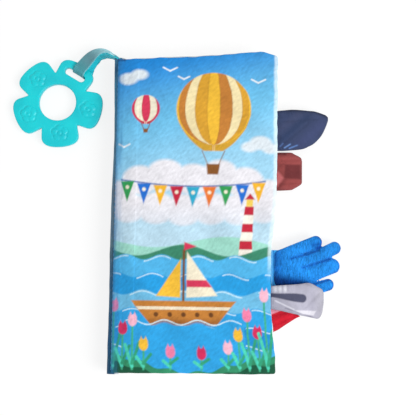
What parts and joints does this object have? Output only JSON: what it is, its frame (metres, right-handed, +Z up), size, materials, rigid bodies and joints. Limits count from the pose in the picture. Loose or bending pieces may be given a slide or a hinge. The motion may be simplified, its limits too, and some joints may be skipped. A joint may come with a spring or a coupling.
{
  "type": "baby activity book",
  "caption": "Soft cloth book for a baby: padded covers and crinkle leaves on a sewn spine, cloth tails at the fore-edge, and a flower teether on a ribbon loop.",
  "frame": {"origin": "centre of the back cover's flat resting face", "axes": "+X from the spine to the fore-edge, +Y to the top of the cover, +Z up out of the front cover"},
  "size_m": [0.2434, 0.2374, 0.0247],
  "materials": {
    "cover_print": "printed polyester, soft matt",
    "cover_lining": "printed polyester, soft matt",
    "leaf_print": "printed polyester, soft matt",
    "wadding": "polyester wadding",
    "crinkle_film": "thin clear film",
    "spine_cloth": "printed polyester, soft matt",
    "margin": "raw cloth edges, stitched",
    "grey_cloth": "printed polyester, soft matt",
    "navy_cloth": "printed polyester, soft matt",
    "russet_cloth": "printed polyester, soft matt",
    "red_cloth": "printed polyester, soft matt",
    "blue_plush": "short plush pile",
    "tab_cloth": "woven tab, matt",
    "ribbon_tape": "ribbed grosgrain",
    "silicone": "food-grade silicone, satin"
  },
  "bodies": {
    "root": {"spine_margin": "margin", "spine_wrap": "spine_cloth", "back_cover_lining": "cover_lining", "back_cover_outer": "cover_print", "back_cover_wadding": "wadding", "back_cover_film": "crinkle_film"},
    "front_cover": {"front_cover_outer": "cover_print", "front_cover_lining": "cover_lining", "front_cover_wadding": "wadding", "front_cover_film": "crinkle_film"},
    "leaf_1": {"leaf_1_front": "leaf_print", "leaf_1_back": "leaf_print", "leaf_1_wadding": "wadding", "leaf_1_film": "crinkle_film"},
    "leaf_2": {"leaf_2_front": "leaf_print", "leaf_2_back": "leaf_print", "leaf_2_wadding": "wadding", "leaf_2_film": "crinkle_film"},
    "leaf_3": {"leaf_3_front": "leaf_print", "leaf_3_back": "leaf_print", "leaf_3_wadding": "wadding", "leaf_3_film": "crinkle_film"},
    "leaf_4": {"leaf_4_front": "leaf_print", "leaf_4_back": "leaf_print", "leaf_4_wadding": "wadding", "leaf_4_film": "crinkle_film"},
    "leaf_5": {"leaf_5_front": "leaf_print", "leaf_5_back": "leaf_print", "leaf_5_wadding": "wadding", "leaf_5_film": "crinkle_film"},
    "tail_1": {"tail_1_grey_face": "grey_cloth", "tail_1_grey_backing": "grey_cloth"},
    "tail_2": {"tail_2_navy_face": "navy_cloth", "tail_2_navy_backing": "navy_cloth"},
    "tail_3": {"tail_3_plush": "blue_plush", "tail_3_plush_tab": "tab_cloth"},
    "tail_4": {"tail_4_russet_face": "russet_cloth", "tail_4_russet_backing": "russet_cloth"},
    "tail_5": {"tail_5_red_face": "red_cloth", "tail_5_red_backing": "red_cloth"},
    "ribbon": {"ribbon_loop": "ribbon_tape"},
    "teether": {"teether": "silicone"}
  },
  "joints": [
    {"name": "front_cover_open", "type": "hinge", "parent": "root", "child": "front_cover", "pos_m": [-0.0555, 0, 0.01675], "axis": [0, -1, 0], "range_deg": [0, 160]},
    {"name": "leaf_1_turn", "type": "hinge", "parent": "root", "child": "leaf_1", "pos_m": [-0.0555, 0, 0.01675], "axis": [0, -1, 0], "range_deg": [0, 133.4]},
    {"name": "leaf_2_turn", "type": "hinge", "parent": "root", "child": "leaf_2", "pos_m": [-0.0555, 0, 0.01675], "axis": [0, -1, 0], "range_deg": [0, 106.8]},
    {"name": "leaf_3_turn", "type": "hinge", "parent": "root", "child": "leaf_3", "pos_m": [-0.0555, 0, 0.01675], "axis": [0, -1, 0], "range_deg": [0, 80.1]},
    {"name": "leaf_4_turn", "type": "hinge", "parent": "root", "child": "leaf_4", "pos_m": [-0.0555, 0, 0.01675], "axis": [0, -1, 0], "range_deg": [0, 53.4]},
    {"name": "leaf_5_turn", "type": "hinge", "parent": "root", "child": "leaf_5", "pos_m": [-0.0555, 0, 0.01675], "axis": [0, -1, 0], "range_deg": [0, 26.8]},
    {"name": "tail_1_flick", "type": "hinge", "parent": "leaf_1", "child": "tail_1", "pos_m": [0.0575, -0.05845, 0.0186], "axis": [0, -1, 0], "range_deg": [0, 60]},
    {"name": "tail_2_flick", "type": "hinge", "parent": "leaf_2", "child": "tail_2", "pos_m": [0.0614, 0.0625, 0.0153], "axis": [0, -1, 0], "range_deg": [-60, 60]},
    {"name": "tail_3_flick", "type": "hinge", "parent": "leaf_3", "child": "tail_3", "pos_m": [0.0575, -0.0373, 0.012], "axis": [0, -1, 0], "range_deg": [-60, 0]},
    {"name": "tail_4_flick", "type": "hinge", "parent": "leaf_4", "child": "tail_4", "pos_m": [0.0614, 0.0334, 0.0087], "axis": [0, -1, 0], "range_deg": [-60, 60]},
    {"name": "tail_5_flick", "type": "hinge", "parent": "leaf_5", "child": "tail_5", "pos_m": [0.05864, -0.0756, 0.0054], "axis": [0, -1, 0], "range_deg": [-60, 15]},
    {"name": "ribbon_swing", "type": "hinge", "parent": "root", "child": "ribbon", "pos_m": [-0.0555, 0.1163, 0.01675], "axis": [0, 0, 1], "range_deg": [-75, 0]},
    {"name": "teether_flip", "type": "hinge", "parent": "ribbon", "child": "teether", "pos_m": [-0.08672, 0.10934, 0.00465], "axis": [0.8616, -0.5075, 0], "range_deg": [-65, 0]}
  ],
  "couplings": [
    {"joint": "leaf_1_turn", "follows": "front_cover_open", "ratio": 0.83333},
    {"joint": "leaf_2_turn", "follows": "front_cover_open", "ratio": 0.66667},
    {"joint": "leaf_3_turn", "follows": "front_cover_open", "ratio": 0.5},
    {"joint": "leaf_4_turn", "follows": "front_cover_open", "ratio": 0.33333},
    {"joint": "leaf_5_turn", "follows": "front_cover_open", "ratio": 0.16667}
  ]
}
